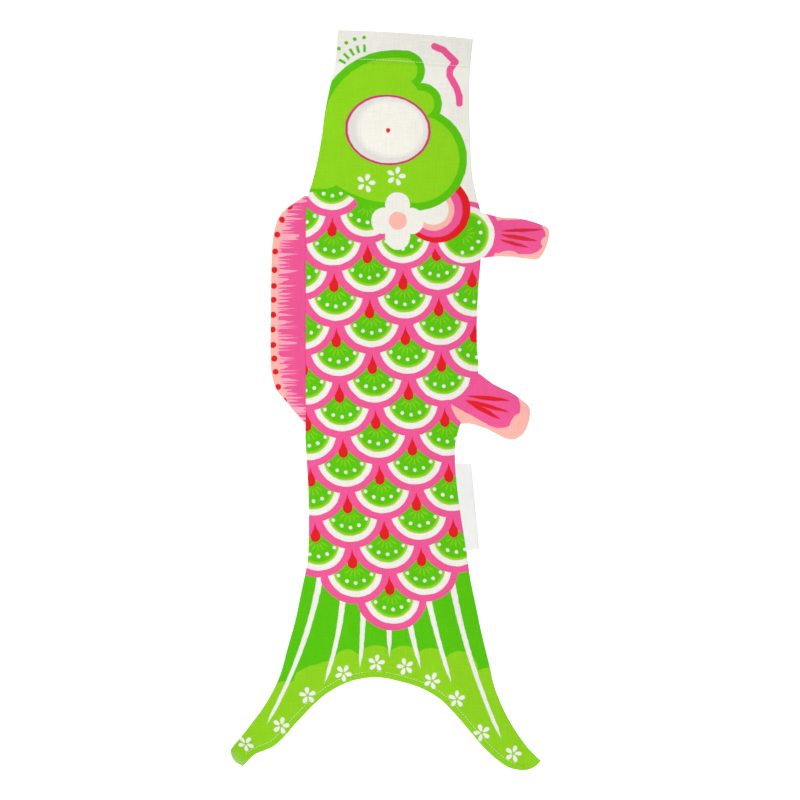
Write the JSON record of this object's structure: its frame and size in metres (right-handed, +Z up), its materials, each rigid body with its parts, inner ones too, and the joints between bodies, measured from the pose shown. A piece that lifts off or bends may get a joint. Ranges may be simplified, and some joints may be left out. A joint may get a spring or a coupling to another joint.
{
  "type": "carp streamer",
  "caption": "Hanging carp-shaped windsock of printed cotton, a flat sewn tube open at the hemmed mouth and the forked tail, with side fins that flap.",
  "frame": {"origin": "centre of the mouth rim, where the streamer is held", "axes": "+Z up along the hanging streamer towards the mouth, -Y out of the front panel, +X to the right seen from the front, towards the two short fins"},
  "size_m": [0.302, 0.0186, 0.7025],
  "materials": {
    "printed_cotton": "matte",
    "cotton_reverse": "matte",
    "hem_thread": "matte",
    "label_tape": "matte",
    "hoop_wire": "satin",
    "hoop_sleeve": "satin"
  },
  "bodies": {
    "head": {"head_front_panel": "printed_cotton", "head_back_panel": "printed_cotton", "head_left_seam": "cotton_reverse", "head_right_seam": "cotton_reverse", "mouth_hem_front": "cotton_reverse", "mouth_hem_back": "cotton_reverse", "mouth_hoop": "hoop_wire", "hoop_sleeve": "hoop_sleeve", "mouth_hem_thread_front": "hem_thread", "mouth_hem_thread_back": "hem_thread"},
    "mid_body": {"mid_body_front_panel": "printed_cotton", "mid_body_back_panel": "printed_cotton", "mid_body_left_seam": "cotton_reverse", "mid_body_right_seam": "cotton_reverse"},
    "rear_body": {"rear_body_front_panel": "printed_cotton", "rear_body_back_panel": "printed_cotton", "rear_body_left_seam": "cotton_reverse", "rear_body_right_seam": "cotton_reverse"},
    "tail_root": {"tail_root_front_panel": "printed_cotton", "tail_root_back_panel": "printed_cotton", "tail_root_left_seam": "cotton_reverse", "tail_root_right_seam": "cotton_reverse", "tail_root_hem_thread_front": "hem_thread", "tail_root_hem_thread_back": "hem_thread"},
    "left_lobe": {"left_lobe_front_panel": "printed_cotton", "left_lobe_back_panel": "printed_cotton", "left_lobe_seam": "cotton_reverse", "left_lobe_hem_thread_front": "hem_thread", "left_lobe_hem_thread_back": "hem_thread"},
    "right_lobe": {"right_lobe_front_panel": "printed_cotton", "right_lobe_back_panel": "printed_cotton", "right_lobe_seam": "cotton_reverse", "right_lobe_hem_thread_front": "hem_thread", "right_lobe_hem_thread_back": "hem_thread"},
    "long_fin": {"long_fin_front_layer": "printed_cotton", "long_fin_back_layer": "printed_cotton"},
    "upper_fin": {"upper_fin_front_layer": "printed_cotton", "upper_fin_back_layer": "printed_cotton"},
    "lower_fin": {"lower_fin_front_layer": "printed_cotton", "lower_fin_back_layer": "printed_cotton"},
    "label": {"woven_label": "label_tape"}
  },
  "joints": [
    {"name": "neck_bend", "type": "hinge", "parent": "head", "child": "mid_body", "pos_m": [0, 0, -0.141], "axis": [-1, 0, 0], "range_deg": [-60, 60]},
    {"name": "waist_bend", "type": "hinge", "parent": "mid_body", "child": "rear_body", "pos_m": [0, 0, -0.39], "axis": [-1, 0, 0], "range_deg": [-60, 60]},
    {"name": "tail_bend", "type": "hinge", "parent": "rear_body", "child": "tail_root", "pos_m": [0, 0, -0.5115], "axis": [-1, 0, 0], "range_deg": [-60, 60]},
    {"name": "left_lobe_flap", "type": "hinge", "parent": "tail_root", "child": "left_lobe", "pos_m": [-0.03252, 0, -0.62016], "axis": [-0.823, 0, 0.568], "range_deg": [-75, 75]},
    {"name": "right_lobe_flap", "type": "hinge", "parent": "tail_root", "child": "right_lobe", "pos_m": [-0.0191, 0, -0.62056], "axis": [-0.8554, 0, -0.5179], "range_deg": [-75, 75]},
    {"name": "long_fin_flap", "type": "hinge", "parent": "mid_body", "child": "long_fin", "pos_m": [-0.095, 0, -0.261], "axis": [0, 0, 1], "range_deg": [-120, 120], "stiffness_Nm_per_rad": 0.0005},
    {"name": "upper_fin_flap", "type": "hinge", "parent": "mid_body", "child": "upper_fin", "pos_m": [0.07125, 0, -0.19075], "axis": [0.0115, 0, -0.9999], "range_deg": [-120, 120], "stiffness_Nm_per_rad": 0.0003},
    {"name": "lower_fin_flap", "type": "hinge", "parent": "mid_body", "child": "lower_fin", "pos_m": [0.06125, 0, -0.346], "axis": [-0.3425, 0, -0.9395], "range_deg": [-120, 120], "stiffness_Nm_per_rad": 0.0003},
    {"name": "label_flap", "type": "hinge", "parent": "rear_body", "child": "label", "pos_m": [0.05325, 0, -0.44875], "axis": [0.113, 0, -0.9936], "range_deg": [-120, 120], "stiffness_Nm_per_rad": 0.0001}
  ]
}
